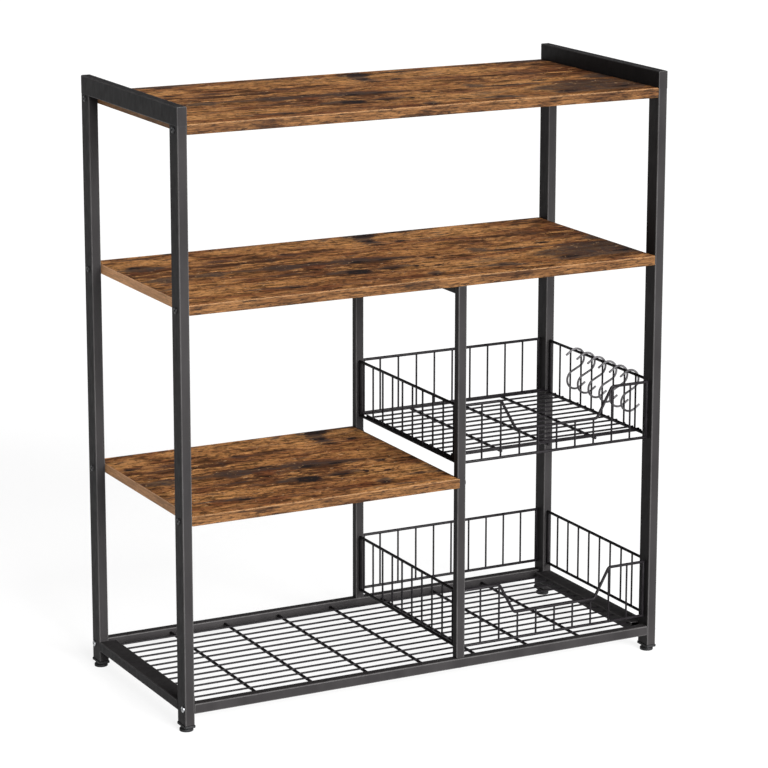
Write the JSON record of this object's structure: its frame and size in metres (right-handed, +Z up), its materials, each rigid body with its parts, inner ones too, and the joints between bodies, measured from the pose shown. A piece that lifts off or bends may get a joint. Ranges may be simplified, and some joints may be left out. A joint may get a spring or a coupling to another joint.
{
  "type": "kitchen shelf",
  "caption": "Free-standing kitchen shelf: black steel tube frame, rustic brown boards, wire bottom grid, wire side baskets, hanging hooks and levelling feet.",
  "frame": {"origin": "on the floor, in the middle of the shelf's footprint", "axes": "+Z up, +X to the right as seen from the front (the baskets' side), -Y the open front"},
  "size_m": [0.8106, 0.352, 0.912],
  "materials": {
    "black_powder_coat": "fine satin powder coat, black with a grey sheen",
    "rustic_board": "wood-effect board, brown with dark knots and streaks",
    "black_bolt": "black coated steel",
    "bright_zinc": "bright zinc plate",
    "black_plastic": "moulded black plastic",
    "black_wire_coat": "black coated wire",
    "grey_hook_coat": "dark grey glossy coat"
  },
  "bodies": {
    "shelf": {"post_left_front": "black_powder_coat", "post_left_rear": "black_powder_coat", "post_right_front": "black_powder_coat", "post_right_rear": "black_powder_coat", "top_bar_left": "black_powder_coat", "top_bar_right": "black_powder_coat", "rail_front": "black_powder_coat", "rail_rear": "black_powder_coat", "rail_left": "black_powder_coat", "rail_right": "black_powder_coat", "middle_post_front": "black_powder_coat", "middle_post_rear": "black_powder_coat", "middle_top_bar": "black_powder_coat", "board_top": "rustic_board", "board_middle": "rustic_board", "board_short": "rustic_board", "bolt_board_top_left_front": "black_bolt", "bolt_board_top_left_rear": "black_bolt", "bolt_board_top_right_front": "black_bolt", "bolt_board_top_right_rear": "black_bolt", "bolt_board_middle_left_front": "black_bolt", "bolt_board_middle_left_rear": "black_bolt", "bolt_board_middle_right_front": "black_bolt", "bolt_board_middle_right_rear": "black_bolt", "bolt_board_short_left_front": "black_bolt", "bolt_board_short_left_rear": "black_bolt", "bolt_board_short_middle_front": "black_bolt", "bolt_board_short_middle_rear": "black_bolt", "bolt_middle_bar_front": "black_bolt", "bolt_middle_bar_rear": "black_bolt", "bolt_rail_left_front": "bright_zinc", "bolt_rail_left_rear": "bright_zinc", "bolt_rail_right_front": "bright_zinc", "bolt_rail_right_rear": "bright_zinc", "bolt_middle_post_front": "bright_zinc", "bolt_middle_post_rear": "bright_zinc", "plug_left_front": "black_plastic", "plug_left_rear": "black_plastic", "plug_right_front": "black_plastic", "plug_right_rear": "black_plastic", "bottom_grid": "black_wire_coat", "upper_basket_floor": "black_wire_coat", "upper_fence_front": "black_wire_coat", "upper_fence_rear": "black_wire_coat", "upper_fence_left": "black_wire_coat", "upper_fence_right": "black_wire_coat", "lower_fence_front": "black_wire_coat", "lower_fence_rear": "black_wire_coat", "lower_fence_left": "black_wire_coat", "lower_fence_right": "black_wire_coat"},
    "s_hook_1": {"s_hook_1": "grey_hook_coat"},
    "s_hook_2": {"s_hook_2": "grey_hook_coat"},
    "s_hook_3": {"s_hook_3": "grey_hook_coat"},
    "s_hook_4": {"s_hook_4": "grey_hook_coat"},
    "s_hook_5": {"s_hook_5": "grey_hook_coat"},
    "s_hook_6": {"s_hook_6": "grey_hook_coat"},
    "foot_left_front": {"foot_left_front": "black_plastic"},
    "foot_left_rear": {"foot_left_rear": "black_plastic"},
    "foot_right_front": {"foot_right_front": "black_plastic"},
    "foot_right_rear": {"foot_right_rear": "black_plastic"}
  },
  "joints": [
    {"name": "s_hook_1_swing", "type": "hinge", "parent": "shelf", "child": "s_hook_1", "pos_m": [0.3925, 0.06533, 0.4315], "axis": [0, 1, 0], "range_deg": [-45, 45]},
    {"name": "s_hook_2_swing", "type": "hinge", "parent": "shelf", "child": "s_hook_2", "pos_m": [0.3925, 0.03267, 0.4315], "axis": [0, 1, 0], "range_deg": [-45, 45]},
    {"name": "s_hook_3_swing", "type": "hinge", "parent": "shelf", "child": "s_hook_3", "pos_m": [0.3925, 0, 0.4315], "axis": [0, 1, 0], "range_deg": [-45, 45]},
    {"name": "s_hook_4_swing", "type": "hinge", "parent": "shelf", "child": "s_hook_4", "pos_m": [0.3925, -0.03267, 0.4315], "axis": [0, 1, 0], "range_deg": [-45, 45]},
    {"name": "s_hook_5_swing", "type": "hinge", "parent": "shelf", "child": "s_hook_5", "pos_m": [0.3925, -0.06533, 0.4315], "axis": [0, 1, 0], "range_deg": [-45, 45]},
    {"name": "s_hook_6_swing", "type": "hinge", "parent": "shelf", "child": "s_hook_6", "pos_m": [0.3925, -0.098, 0.4315], "axis": [0, 1, 0], "range_deg": [-45, 45]},
    {"name": "foot_left_front_screw", "type": "slide", "parent": "shelf", "child": "foot_left_front", "axis": [0, 0, -1], "range_m": [0, 0.008]},
    {"name": "foot_left_rear_screw", "type": "slide", "parent": "shelf", "child": "foot_left_rear", "axis": [0, 0, -1], "range_m": [0, 0.008]},
    {"name": "foot_right_front_screw", "type": "slide", "parent": "shelf", "child": "foot_right_front", "axis": [0, 0, -1], "range_m": [0, 0.008]},
    {"name": "foot_right_rear_screw", "type": "slide", "parent": "shelf", "child": "foot_right_rear", "axis": [0, 0, -1], "range_m": [0, 0.008]}
  ]
}
